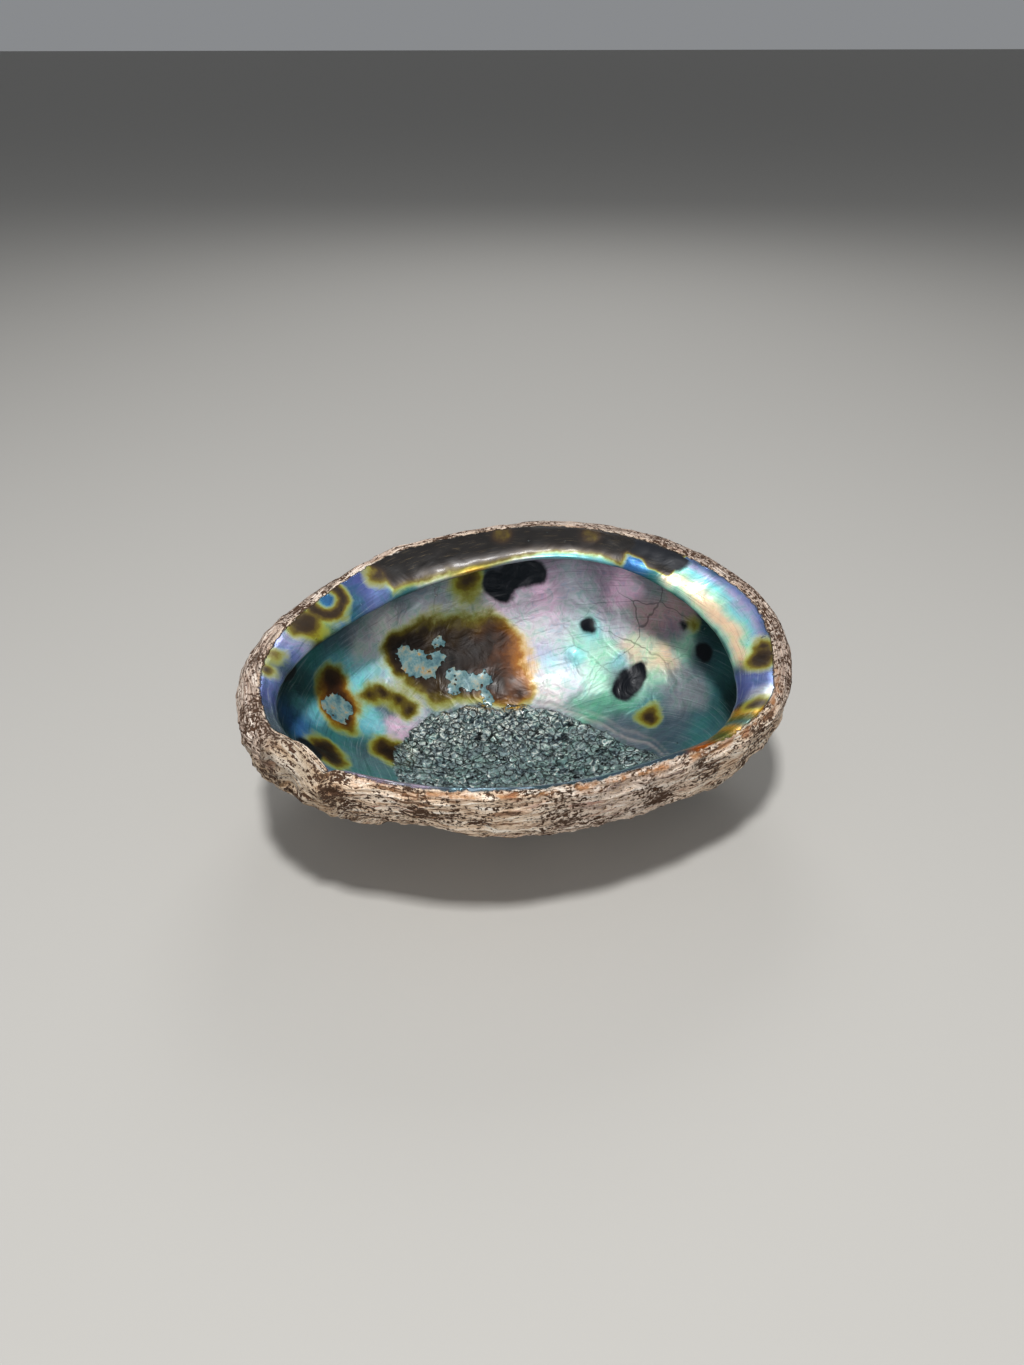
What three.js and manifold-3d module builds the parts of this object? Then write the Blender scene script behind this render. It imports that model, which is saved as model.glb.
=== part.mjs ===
// Abalone shell, a large red abalone lying on its back with the mouth of the bowl facing up.
//
// Units are millimetres and +Z is up. The origin is on the surface that the shell rests on, under
// the middle of its outline. X runs along the length of the shell: the head end is at -X and the
// end with the coiled spire is at +X. The broad columellar shelf is on the +Y side, and the thin
// outer lip is on the -Y side.
//
// The shell grew as one piece, so it is one closed solid. Every wall section is drawn in a half
// plane through the upright axis of the bowl, at one bearing, and the sections are lofted around.

import * as THREE from 'three';
import { mergeVertices } from 'three/addons/utils/BufferGeometryUtils.js';
import Module from 'manifold-3d';

const radians = THREE.MathUtils.degToRad;

// ---- driving dimensions ----------------------------------------------------------------------

// Wall stations, every 22.5 degrees counterclockwise from +X, seen from above.
//   reach   from the bowl's axis out to the crest of the lip
//   height  of the crest above the ground
//   shelf   width of the pearly shelf, from the crest inwards
//   band    width of the layered crust outside the crest
//   fullness  exponent of the section: 2 is an ellipse, more is boxier, less is slacker
//   wall    thickness of the wall just below the lip
const STATIONS = [
  { reach: 89.5, height: 68, shelf: 15.0, band: 7.5, fullness: 2.2, wall: 7.0 },
  { reach: 79.5, height: 76, shelf: 13.0, band: 11.0, fullness: 2.3, wall: 7.5 },
  { reach: 72.5, height: 79, shelf: 12.0, band: 10.0, fullness: 2.4, wall: 7.0 },
  { reach: 69.0, height: 79, shelf: 13.0, band: 7.5, fullness: 2.5, wall: 6.5 },
  { reach: 70.0, height: 76, shelf: 14.5, band: 4.0, fullness: 2.5, wall: 6.0 },
  { reach: 75.5, height: 72, shelf: 15.5, band: 4.5, fullness: 2.4, wall: 6.0 },
  { reach: 80.0, height: 66, shelf: 13.0, band: 7.0, fullness: 2.3, wall: 6.0 },
  { reach: 85.5, height: 62, shelf: 9.5, band: 8.0, fullness: 2.2, wall: 6.0 },
  { reach: 88.0, height: 61, shelf: 5.5, band: 7.5, fullness: 2.0, wall: 6.0 },
  { reach: 88.5, height: 61, shelf: 4.5, band: 5.0, fullness: 1.75, wall: 5.5 },
  { reach: 80.0, height: 60, shelf: 3.0, band: 2.0, fullness: 1.55, wall: 4.5 },
  { reach: 74.5, height: 60, shelf: 2.5, band: 1.0, fullness: 1.7, wall: 4.0 },
  { reach: 71.5, height: 59, shelf: 2.5, band: 1.0, fullness: 1.75, wall: 4.0 },
  { reach: 72.0, height: 58, shelf: 3.0, band: 1.0, fullness: 1.9, wall: 4.5 },
  { reach: 79.0, height: 55, shelf: 7.0, band: 2.5, fullness: 2.0, wall: 5.5 },
  { reach: 88.0, height: 58, shelf: 12.0, band: 6.0, fullness: 2.1, wall: 6.5 },
];

const FLOOR_THICKNESS = 4.5;
const BASE = { x: 5, y: 10 }; // the bowl is deepest here, nearer the shelf than the outer lip
const WORN_DEPTH = 1.2;       // how much of the round back is worn flat where the shell rests

// The crust band falls a little to its shoulder, given as a share of its width, and then turns
// over. Each fall is for a millimetre of the band's width, and each rounding is a further drop.
const BAND_SHOULDER = { share: 0.6, fall: 0.04, rounding: 0.2 };
const BAND_EDGE = { fall: 0.25, rounding: 1.5 };

// The shelf drops from the crest to its inner edge. Two points between are given as shares of
// its width and of its drop.
const SHELF = { fall: 0.45, rounding: 1 };
const SHELF_MIDDLE = { across: 0.5, down: 0.42 };
const SHELF_TURN = { across: 0.84, down: 0.8 };

// The nose is the rounded inner edge of the shelf, which rolls over and back to the wall under
// it. Its height has a least value and grows with the shelf. Its foot goes back by a share of
// the undercut.
const NOSE = { least: 3, growth: 0.17, front: 0.35 };
const NOSE_FOOT = { back: 0.35, down: 0.8 };

// The breathing notch, where the newest hole is still open to the lip. It fades down the wall.
const NOTCH = { bearing: radians(209.5), halfWidth: radians(3.4), dip: 6.5, pinch: 3, fade: 8 };

// The brow, a swelling of the lip that stands up beside the notch on its head side.
const BROW = { bearing: radians(203.5), halfWidth: radians(4.5), rise: 3 };

// The row of breathing holes runs along a low ridge, from the notch round the head end, along
// the shelf side and into the spire. Depth is the section angle, 0 at the lip and 90 at the base.
const RIDGE = {
  firstBearing: radians(212),
  lastBearing: radians(-24),
  firstDepth: radians(12),
  lastDepth: radians(46),
  deepening: 0.7,
  halfWidth: radians(7),
  rise: 1.6,
  fadeIn: 0.125,
  fadeOut: 0.2,
};
const OPEN_HOLE_BEARINGS = [204, 187, 171].map(radians);
const HOLE = { length: 7.5, width: 5, reachIn: 13, reachOut: 6.5 };
const HOLE_RIM = { width: 2.4, slope: 0.7, rise: 1.3, foot: 0.5, root: 3 };

// Older holes are filled from inside and stay as low oval bumps.
const CLOSED_HOLE_BEARINGS = [156, 142, 129, 117, 106, 96].map(radians);
const CLOSED_HOLE = {
  radius: 4.5,
  squeeze: 0.8,
  rise: 1.3,
  shoulder: { share: 0.6, rise: 1.1 },
  foot: 0.3,
  root: 2,
};

// The low spire on the back, near the tail end and on the outer lip's side.
const SPIRE = { x: 60, y: -27, radius: 13, rise: 6 };

const BEARING_STEPS = 108;
const OUTSIDE_RINGS = 12;
const INSIDE_RINGS = 11;
const HOLE_SIDES = 12;
const RING_CROWDING = 1.15;   // more than 1 draws the rings together near the base
const FRAME_STEP = radians(2);
const WELD_DISTANCE = 0.001;

const CRUST_COLOUR = 0xab8f7c;

// ---- wall section ----------------------------------------------------------------------------

// A station value at any bearing, by a closed Catmull-Rom curve through the station values.
function atBearing(bearing, key) {
  const count = STATIONS.length;
  const turn = ((bearing / (2 * Math.PI)) * count + 2 * count) % count;
  const index = Math.floor(turn);
  const f = turn - index;
  const [a, b, c, d] = [-1, 0, 1, 2].map((k) => STATIONS[(index + k + count) % count][key]);
  return 0.5 * (2 * b + (c - a) * f + (2 * a - 5 * b + 4 * c - d) * f ** 2
    + (3 * b - a - 3 * c + d) * f ** 3);
}

function bell(x) {
  return Math.exp(-x * x);
}

// A point of the section at one bearing: carried over towards the deepest part of the bowl as it
// goes down, pulled down and in where the notch crosses the lip, and raised at the brow.
function sectionPoint(bearing, reach, height, depth = 0) {
  const turn = (bearing + 2 * Math.PI) % (2 * Math.PI);
  const fade = Math.cos(depth) ** NOTCH.fade;
  const notch = bell((turn - NOTCH.bearing) / NOTCH.halfWidth) * fade;
  const brow = bell((turn - BROW.bearing) / BROW.halfWidth) * fade;
  const pinched = reach - NOTCH.pinch * notch;
  const carry = Math.sin(depth) ** 2;
  return new THREE.Vector3(
    pinched * Math.cos(bearing) + BASE.x * carry,
    pinched * Math.sin(bearing) + BASE.y * carry,
    height - NOTCH.dip * notch + BROW.rise * brow,
  );
}

// Everything that the section at one bearing is drawn from.
function wallAt(bearing) {
  const shelf = atBearing(bearing, 'shelf');
  const band = atBearing(bearing, 'band');
  const crestReach = atBearing(bearing, 'reach');
  const crestHeight = atBearing(bearing, 'height');
  const drop = SHELF.fall * shelf + SHELF.rounding;
  const nose = NOSE.least + NOSE.growth * shelf;
  const outsideReach = crestReach + band;
  return {
    shelf,
    band,
    crestReach,
    crestHeight,
    drop,
    nose,
    outsideReach,
    outsideHeight: crestHeight - BAND_EDGE.fall * band - BAND_EDGE.rounding,
    insideReach: outsideReach - atBearing(bearing, 'wall'),
    insideHeight: crestHeight - drop - nose,
    fullness: atBearing(bearing, 'fullness'),
  };
}

// The section's exponent: the station's fullness at the lip, easing to an ellipse at the base.
function sectionPower(wall, depth) {
  const ease = 1 - (depth / radians(90)) ** 3;
  return 2 / (2 + (wall.fullness - 2) * ease);
}

// How far out and how far up the section is at a depth, as shares of its reach and its height.
function sectionShares(wall, depth) {
  const power = sectionPower(wall, depth);
  return { out: Math.max(0, Math.cos(depth)) ** power, up: 1 - Math.sin(depth) ** power };
}

// How far along the ridge a bearing is, from 0 at the notch to 1 at the spire; the arc between
// the two, under the outer lip, carries no ridge.
function ridgeProgress(bearing) {
  const start = RIDGE.firstBearing;
  const behind = (start - bearing + 4 * Math.PI) % (2 * Math.PI);
  return behind / (start - RIDGE.lastBearing);
}

function ridgeDepth(bearing) {
  const share = ridgeProgress(bearing) ** RIDGE.deepening;
  return THREE.MathUtils.lerp(RIDGE.firstDepth, RIDGE.lastDepth, share);
}

function ridgeRise(bearing, depth) {
  const progress = ridgeProgress(bearing);
  if (progress > 1) return 0;
  const ends = Math.min(1, progress / RIDGE.fadeIn, (1 - progress) / RIDGE.fadeOut);
  return RIDGE.rise * ends * bell((depth - ridgeDepth(bearing)) / RIDGE.halfWidth);
}

// A point on the outside, at a section angle of 0 at the lip to 90 degrees at the base.
function outsidePoint(bearing, depth) {
  const wall = wallAt(bearing);
  const share = sectionShares(wall, depth);
  const reach = wall.outsideReach * share.out;
  const point = sectionPoint(bearing, reach, wall.outsideHeight * share.up, depth);
  const outward = new THREE.Vector3(
    Math.cos(bearing) * Math.cos(depth),
    Math.sin(bearing) * Math.cos(depth),
    -Math.sin(depth),
  );
  const fromSpire = Math.hypot(point.x - SPIRE.x, point.y - SPIRE.y) / SPIRE.radius;
  const rise = ridgeRise(bearing, depth) + SPIRE.rise * bell(fromSpire);
  point.addScaledVector(outward, rise);
  point.z = Math.max(0, point.z - WORN_DEPTH);
  return point;
}

function insidePoint(bearing, depth) {
  const wall = wallAt(bearing);
  const share = sectionShares(wall, depth);
  const height = THREE.MathUtils.lerp(FLOOR_THICKNESS, wall.insideHeight, share.up);
  return sectionPoint(bearing, wall.insideReach * share.out, height, depth);
}

// The lip, from the crust band over the crest, down the shelf and round its inner edge.
function lipPoints(bearing) {
  const { crestReach, crestHeight, shelf, band, drop, nose } = wallAt(bearing);
  const edge = crestReach - shelf;
  const edgeHeight = crestHeight - drop;
  const undercut = wallAt(bearing).insideReach - edge;
  const profile = [
    [
      crestReach + BAND_SHOULDER.share * band,
      crestHeight - BAND_SHOULDER.fall * band - BAND_SHOULDER.rounding,
    ],
    [crestReach, crestHeight],
    [crestReach - SHELF_MIDDLE.across * shelf, crestHeight - SHELF_MIDDLE.down * drop],
    [crestReach - SHELF_TURN.across * shelf, crestHeight - SHELF_TURN.down * drop],
    [edge, edgeHeight - NOSE.front * nose],
    [edge + NOSE_FOOT.back * undercut, edgeHeight - NOSE_FOOT.down * nose],
  ];
  return profile.map(([reach, height]) => sectionPoint(bearing, reach, height));
}

// ---- loft ------------------------------------------------------------------------------------

// Section angles from just off the base up to the lip, closer together near the base.
function ringDepths(rings) {
  const shares = Array.from({ length: rings }, (_, k) => 1 - (k + 1) / rings);
  return shares.map((share) => radians(90) * share ** RING_CROWDING);
}

function shellRings() {
  const outside = ringDepths(OUTSIDE_RINGS);
  const inside = ringDepths(INSIDE_RINGS).reverse();
  const columns = [];
  for (let step = 0; step < BEARING_STEPS; step += 1) {
    const bearing = (2 * Math.PI * step) / BEARING_STEPS;
    columns.push([
      ...outside.map((depth) => outsidePoint(bearing, depth)),
      ...lipPoints(bearing),
      ...inside.map((depth) => insidePoint(bearing, depth)),
    ]);
  }
  return columns;
}

function shellGeometry() {
  const columns = shellRings();
  const ringCount = columns[0].length;
  const positions = columns.flat().flatMap((point) => point.toArray());
  const base = columns.length * ringCount;
  const floor = base + 1;
  positions.push(BASE.x, BASE.y, 0, BASE.x, BASE.y, FLOOR_THICKNESS);
  const triangles = [];
  columns.forEach((_, step) => {
    const here = step * ringCount;
    const next = ((step + 1) % columns.length) * ringCount;
    triangles.push(base, next, here);
    for (let ring = 0; ring < ringCount - 1; ring += 1) {
      triangles.push(here + ring, next + ring, next + ring + 1);
      triangles.push(here + ring, next + ring + 1, here + ring + 1);
    }
    triangles.push(floor, here + ringCount - 1, next + ringCount - 1);
  });
  const geometry = new THREE.BufferGeometry();
  geometry.setAttribute('position', new THREE.Float32BufferAttribute(positions, 3));
  geometry.setIndex(triangles);
  return geometry;
}

// ---- breathing holes -------------------------------------------------------------------------

// A frame on the outside at a bearing: +Z points out of the shell and +X runs along the row.
function holeFrame(bearing) {
  const depth = ridgeDepth(bearing);
  const centre = outsidePoint(bearing, depth);
  const next = bearing + FRAME_STEP;
  const along = outsidePoint(next, ridgeDepth(next)).sub(centre);
  const down = outsidePoint(bearing, depth + FRAME_STEP).sub(centre);
  const out = new THREE.Vector3().crossVectors(down, along).normalize();
  const row = along.normalize();
  const side = new THREE.Vector3().crossVectors(out, row);
  return new THREE.Matrix4().makeBasis(row, side, out).setPosition(centre);
}

// A closed round body turned about its own Z axis and squeezed to an oval.
function ovalBody(profile, widthOverLength, frame) {
  const points = profile.map(([radius, height]) => new THREE.Vector2(radius, height));
  const geometry = new THREE.LatheGeometry(points, HOLE_SIDES);
  geometry.rotateX(radians(90));
  geometry.scale(1, widthOverLength, 1);
  return geometry.applyMatrix4(frame);
}

function holeRim(bearing) {
  const { rise, foot, root } = HOLE_RIM;
  const outer = HOLE.length / 2 + HOLE_RIM.width;
  const top = outer - HOLE_RIM.slope * HOLE_RIM.width;
  const profile = [[0, -root], [outer, -root], [outer, -foot], [top, rise], [0, rise]];
  return ovalBody(profile, HOLE.width / HOLE.length, holeFrame(bearing));
}

function holeCutter(bearing) {
  const radius = HOLE.length / 2;
  const { reachIn, reachOut } = HOLE;
  const profile = [[0, -reachIn], [radius, -reachIn], [radius, reachOut], [0, reachOut]];
  return ovalBody(profile, HOLE.width / HOLE.length, holeFrame(bearing));
}

function closedHole(bearing) {
  const { radius, squeeze, rise, shoulder, foot, root } = CLOSED_HOLE;
  const profile = [
    [0, -root],
    [radius, -root],
    [radius, -foot],
    [shoulder.share * radius, shoulder.rise],
    [0, rise],
  ];
  return ovalBody(profile, squeeze, holeFrame(bearing));
}

// ---- joining and cutting ---------------------------------------------------------------------

const wasm = await Module();
wasm.setup();

function toManifold(geometry) {
  const bare = geometry.clone();
  bare.deleteAttribute('normal');
  bare.deleteAttribute('uv');
  const merged = mergeVertices(bare, WELD_DISTANCE);
  return new wasm.Manifold(new wasm.Mesh({
    numProp: 3,
    vertProperties: Float32Array.from(merged.getAttribute('position').array),
    triVerts: Uint32Array.from(merged.getIndex().array),
  }));
}

function toGeometry(manifold) {
  const mesh = manifold.getMesh();
  const geometry = new THREE.BufferGeometry();
  geometry.setAttribute('position', new THREE.BufferAttribute(mesh.vertProperties, 3));
  geometry.setIndex(new THREE.BufferAttribute(mesh.triVerts, 1));
  geometry.computeVertexNormals();
  return geometry;
}

function shellSolid() {
  let solid = toManifold(shellGeometry());
  for (const bearing of CLOSED_HOLE_BEARINGS) {
    solid = solid.add(toManifold(closedHole(bearing)));
  }
  for (const bearing of OPEN_HOLE_BEARINGS) {
    solid = solid.add(toManifold(holeRim(bearing)));
  }
  for (const bearing of OPEN_HOLE_BEARINGS) {
    solid = solid.subtract(toManifold(holeCutter(bearing)));
  }
  const geometry = toGeometry(solid);
  geometry.computeBoundingBox();
  const middle = geometry.boundingBox.getCenter(new THREE.Vector3());
  return geometry.translate(-middle.x, -middle.y, 0);
}

// ---- the shell -------------------------------------------------------------------------------

const crust = new THREE.MeshStandardMaterial({
  color: CRUST_COLOUR,
  roughness: 0.85,
  metalness: 0,
});

const shell = new THREE.Mesh(shellSolid(), crust);
shell.name = 'shell';

const model = new THREE.Group();
model.add(shell);

export default model;
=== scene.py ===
"""Abalone shell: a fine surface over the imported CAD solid, lit and framed in a plain studio.

Lengths are millimetres up to the mesh, which is in metres. The shell is a grid: columns run round
it by bearing, and rows run from the base, up the outside, over the lip and down to the floor.
"""

import math

import bpy
import numpy as np
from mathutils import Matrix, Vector
from mathutils.kdtree import KDTree


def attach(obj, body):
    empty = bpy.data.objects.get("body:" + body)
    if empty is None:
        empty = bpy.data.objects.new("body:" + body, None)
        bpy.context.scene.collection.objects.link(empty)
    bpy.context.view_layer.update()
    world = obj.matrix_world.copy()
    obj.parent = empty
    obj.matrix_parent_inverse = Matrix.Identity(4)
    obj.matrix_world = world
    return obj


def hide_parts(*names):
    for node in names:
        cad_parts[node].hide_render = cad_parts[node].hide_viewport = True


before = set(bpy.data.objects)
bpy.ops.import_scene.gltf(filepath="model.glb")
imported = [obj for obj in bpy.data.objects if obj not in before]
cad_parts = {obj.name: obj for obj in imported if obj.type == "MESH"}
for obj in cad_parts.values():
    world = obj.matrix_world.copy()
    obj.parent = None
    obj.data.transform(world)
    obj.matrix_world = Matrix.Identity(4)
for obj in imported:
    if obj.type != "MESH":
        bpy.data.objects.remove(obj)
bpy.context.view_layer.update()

MM = 0.001
TAU = 2 * math.pi

# ---- the wall of the shell, the same sections as the CAD solid -------------------------------

# One row every 22.5 degrees counterclockwise from +X: reach, height, shelf, band, fullness, wall.
STATIONS = np.array([
    (89.5, 68, 15.0, 7.5, 2.20, 7.0),
    (79.5, 76, 13.0, 11.0, 2.30, 7.5),
    (72.5, 79, 12.0, 10.0, 2.40, 7.0),
    (69.0, 79, 13.0, 7.5, 2.50, 6.5),
    (70.0, 76, 14.5, 4.0, 2.50, 6.0),
    (75.5, 72, 15.5, 4.5, 2.40, 6.0),
    (80.0, 66, 13.0, 7.0, 2.30, 6.0),
    (85.5, 62, 9.5, 8.0, 2.20, 6.0),
    (88.0, 61, 5.5, 7.5, 2.00, 6.0),
    (88.5, 61, 4.5, 5.0, 1.75, 5.5),
    (80.0, 60, 3.0, 2.0, 1.55, 4.5),
    (74.5, 60, 2.5, 1.0, 1.70, 4.0),
    (71.5, 59, 2.5, 1.0, 1.75, 4.0),
    (72.0, 58, 3.0, 1.0, 1.90, 4.5),
    (79.0, 55, 7.0, 2.5, 2.00, 5.5),
    (88.0, 58, 12.0, 6.0, 2.10, 6.5),
])
REACH, HEIGHT, SHELF, BAND, FULLNESS, WALL = range(6)
FLOOR_THICKNESS = 4.5
BASE = np.array((5.0, 10.0))
WORN_DEPTH = 1.2
SHELF_FALL, LIP_ROUNDING = 0.45, 1.0
BAND_SHARE, BAND_TOP_FALL, BAND_TOP_ROUNDING = 0.6, 0.04, 0.2
BAND_FALL, BAND_ROUNDING = 0.25, 1.5
NOTCH_BEARING, NOTCH_HALF_WIDTH = math.radians(209.5), math.radians(3.4)
NOTCH_DIP, NOTCH_PINCH, NOTCH_FADE = 6.5, 3.0, 8
BROW_BEARING, BROW_HALF_WIDTH, BROW_RISE = math.radians(203.5), math.radians(4.5), 3.0
RIDGE_START, RIDGE_END = math.radians(212), math.radians(-24)
RIDGE_FIRST, RIDGE_LAST = math.radians(12), math.radians(46)
RIDGE_DEEPENING, RIDGE_HALF_WIDTH, RIDGE_RISE = 0.7, math.radians(7), 1.6
SPIRE = np.array((60.0, -27.0))
SPIRE_RADIUS, SPIRE_RISE = 13.0, 6.0
OPEN_HOLES = [math.radians(angle) for angle in (204, 187, 171)]
CLOSED_HOLES = [math.radians(angle) for angle in (156, 142, 129, 117, 106, 96)]
HOLE_LENGTH, HOLE_WIDTH = 7.5, 5.0
HOLE_REACH_IN, HOLE_REACH_OUT, HOLE_SIDES, HOLE_RIM_DEPTH = 13, 6.5, 40, 9

COLUMNS = 480
COLUMN_CROWDING = 0.35
OUTSIDE_ROWS = 66
OUTSIDE_ROW_CROWDING = 1.3
INSIDE_ROWS = 108
LIP_STEPS = (5, 5, 4, 4, 4, 2, 2)
CREST_ROW = OUTSIDE_ROWS + 9
EDGE_ROW = OUTSIDE_ROWS + 21


def bell(x):
    return np.exp(-x * x)


def smooth(low, high, x):
    t = np.clip((x - low) / (high - low), 0, 1)
    return t * t * (3 - 2 * t)


def curve(a, b, c, d, f):
    """A Catmull-Rom curve through four points, a share f of the way from b to c."""
    return 0.5 * (2 * b + (c - a) * f + (2 * a - 5 * b + 4 * c - d) * f ** 2
                  + (3 * b - a - 3 * c + d) * f ** 3)


def station(bearing, column):
    """A station value at any bearing, by a closed Catmull-Rom curve."""
    count = len(STATIONS)
    turn = (np.asarray(bearing) / TAU * count) % count
    index = np.floor(turn).astype(int)
    f = turn - index
    return curve(*(STATIONS[(index + k) % count, column] for k in (-1, 0, 1, 2)), f)


def section_point(bearing, reach, height, depth=0.0):
    """A point of the wall section at a bearing, with the notch, its brow and the shifted base."""
    turn = (bearing + TAU) % TAU
    notch = bell((turn - NOTCH_BEARING) / NOTCH_HALF_WIDTH) * np.cos(depth) ** NOTCH_FADE
    pinched = reach - NOTCH_PINCH * notch
    brow = bell((turn - BROW_BEARING) / BROW_HALF_WIDTH) * np.cos(depth) ** NOTCH_FADE
    carry = np.sin(depth) ** 2
    return np.stack(np.broadcast_arrays(
        pinched * np.cos(bearing) + BASE[0] * carry,
        pinched * np.sin(bearing) + BASE[1] * carry,
        height - NOTCH_DIP * notch + BROW_RISE * brow,
    ), axis=-1)


def section_shares(bearing, depth):
    """How far out and how far up the section is, at a depth from 0 at the lip to a quarter turn."""
    ease = 1 - (depth / (math.pi / 2)) ** 3
    power = 2 / (2 + (station(bearing, FULLNESS) - 2) * ease)
    return np.maximum(0, np.cos(depth)) ** power, 1 - np.sin(depth) ** power


def ridge_progress(bearing):
    return ((RIDGE_START - bearing + 2 * TAU) % TAU) / (RIDGE_START - RIDGE_END)


def ridge_depth(bearing):
    """The depth at which the row of breathing holes crosses a bearing."""
    share = ridge_progress(bearing) ** RIDGE_DEEPENING
    return RIDGE_FIRST + (RIDGE_LAST - RIDGE_FIRST) * share


def outside_point(bearing, depth):
    band = station(bearing, BAND)
    reach = station(bearing, REACH) + band
    height = station(bearing, HEIGHT) - BAND_FALL * band - BAND_ROUNDING
    out, up = section_shares(bearing, depth)
    point = section_point(bearing, reach * out, height * up, depth)
    outward = np.stack(np.broadcast_arrays(
        np.cos(bearing) * np.cos(depth), np.sin(bearing) * np.cos(depth), -np.sin(depth)), axis=-1)
    progress = ridge_progress(bearing)
    ends = np.clip(np.minimum(8 * progress, 5 * (1 - progress)), 0, 1)
    ridge = RIDGE_RISE * ends * bell((depth - ridge_depth(bearing)) / RIDGE_HALF_WIDTH)
    from_spire = np.linalg.norm(point[..., :2] - SPIRE, axis=-1)
    rise = ridge + SPIRE_RISE * bell(from_spire / SPIRE_RADIUS)
    point = point + outward * rise[..., None]
    point[..., 2] = np.maximum(0, point[..., 2] - WORN_DEPTH)
    return point


def inside_point(bearing, depth):
    shelf = station(bearing, SHELF)
    reach = station(bearing, REACH) + station(bearing, BAND) - station(bearing, WALL)
    drop = SHELF_FALL * shelf + LIP_ROUNDING
    height = station(bearing, HEIGHT) - drop - (3 + 0.17 * shelf)
    out, up = section_shares(bearing, depth)
    return section_point(
        bearing, reach * out, FLOOR_THICKNESS + (height - FLOOR_THICKNESS) * up, depth)


def lip_points(bearing):
    """The eight points that the lip is drawn through, from the outside to the inside."""
    reach, height = station(bearing, REACH), station(bearing, HEIGHT)
    shelf, band = station(bearing, SHELF), station(bearing, BAND)
    drop = SHELF_FALL * shelf + LIP_ROUNDING
    nose = 3 + 0.17 * shelf
    edge = reach - shelf
    undercut = reach + band - station(bearing, WALL) - edge
    profile = (
        (reach + BAND_SHARE * band, height - BAND_TOP_FALL * band - BAND_TOP_ROUNDING),
        (reach, height),
        (reach - 0.5 * shelf, height - 0.42 * drop),
        (edge + 0.16 * shelf, height - 0.8 * drop),
        (edge, height - drop - 0.35 * nose),
        (edge + 0.35 * undercut, height - drop - 0.8 * nose),
    )
    flat = 0.0 * bearing
    return [
        outside_point(bearing, flat),
        *(section_point(bearing, out, up) for out, up in profile),
        inside_point(bearing, flat),
    ]


def lip_rows(bearing):
    """The lip as rows of points on a smooth curve, without its first and last point."""
    beside_lip = np.full_like(bearing, math.radians(3))
    points = lip_points(bearing)
    points = [outside_point(bearing, beside_lip), *points, inside_point(bearing, beside_lip)]
    rows = []
    for segment, steps in enumerate(LIP_STEPS):
        for f in np.arange(steps) / steps:
            rows.append(curve(*points[segment:segment + 4], f))
    return rows[1:]


# ---- noise -----------------------------------------------------------------------------------

def hashed(x, y, z, seed):
    """A repeatable number from 0 to 1 for every whole-number place."""
    mixed = (x * 374761393 + y * 668265263 + z * 1440670441 + seed * 1274126177) & 0xFFFFFFFF
    mixed = ((mixed ^ (mixed >> 13)) * 1274126177) & 0xFFFFFFFF
    mixed = ((mixed ^ (mixed >> 15)) * 2246822519) & 0xFFFFFFFF
    return (mixed ^ (mixed >> 16)) / 4294967296.0


def value_noise(points, seed=0):
    """Smooth noise from -1 to 1, with features about one unit across."""
    cell = np.floor(points).astype(np.int64)
    f = points - cell
    f = f * f * f * (f * (f * 6 - 15) + 10)
    total = 0.0
    for dx in (0, 1):
        for dy in (0, 1):
            for dz in (0, 1):
                weight = (np.where(dx, f[..., 0], 1 - f[..., 0])
                          * np.where(dy, f[..., 1], 1 - f[..., 1])
                          * np.where(dz, f[..., 2], 1 - f[..., 2]))
                corner = cell + (dx, dy, dz)
                total = total + weight * hashed(corner[..., 0], corner[..., 1], corner[..., 2], seed)
    return 2 * total - 1


def layered_noise(points, octaves=4, seed=0, gain=0.5):
    total, size = 0.0, 1.0
    for octave in range(octaves):
        total = total + size * value_noise(points * 2 ** octave + 17.3 * octave, seed + octave)
        size *= gain
    return total


def cells(points, seed=0):
    """Distances to the two nearest scattered seeds, one to each unit cell, and the near one's id."""
    home = np.floor(points).astype(np.int64)
    first = np.full(points.shape[:-1], 9.0)
    second = first.copy()
    name = np.zeros(points.shape[:-1])
    for dx in (-1, 0, 1):
        for dy in (-1, 0, 1):
            for dz in (-1, 0, 1):
                cell = home + (dx, dy, dz)
                x, y, z = cell[..., 0], cell[..., 1], cell[..., 2]
                seeds = np.stack([hashed(x, y, z, seed + k) for k in range(3)], axis=-1) + cell
                distance = np.linalg.norm(points - seeds, axis=-1)
                closer = distance < first
                second = np.where(closer, first, np.minimum(second, distance))
                name = np.where(closer, hashed(x, y, z, seed + 7), name)
                first = np.where(closer, distance, first)
    return first, second, name


# ---- the fine surface ------------------------------------------------------------------------

def column_bearings():
    """Columns all round, closer together under the thin outer lip."""
    turn = np.arange(COLUMNS) / COLUMNS
    return TAU * turn - COLUMN_CROWDING * np.cos(TAU * turn)


def base_surface():
    """The bearings of the columns, and the grid of points before any relief."""
    bearing = column_bearings()
    rows = []
    for share in (np.arange(OUTSIDE_ROWS) + 1) / OUTSIDE_ROWS:
        depth = math.pi / 2 * (1 - share) ** OUTSIDE_ROW_CROWDING
        rows.append(outside_point(bearing, np.full_like(bearing, depth)))
    rows += lip_rows(bearing)
    for share in np.arange(INSIDE_ROWS) / INSIDE_ROWS:
        rows.append(inside_point(bearing, np.full_like(bearing, math.pi / 2 * share)))
    return bearing, np.stack(rows, axis=1)


def surface_normals(points):
    along = np.roll(points, -1, axis=0) - np.roll(points, 1, axis=0)
    across = np.gradient(points, axis=1)
    normal = np.cross(along, across)
    return normal / np.maximum(np.linalg.norm(normal, axis=-1, keepdims=True), 1e-9)


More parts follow.
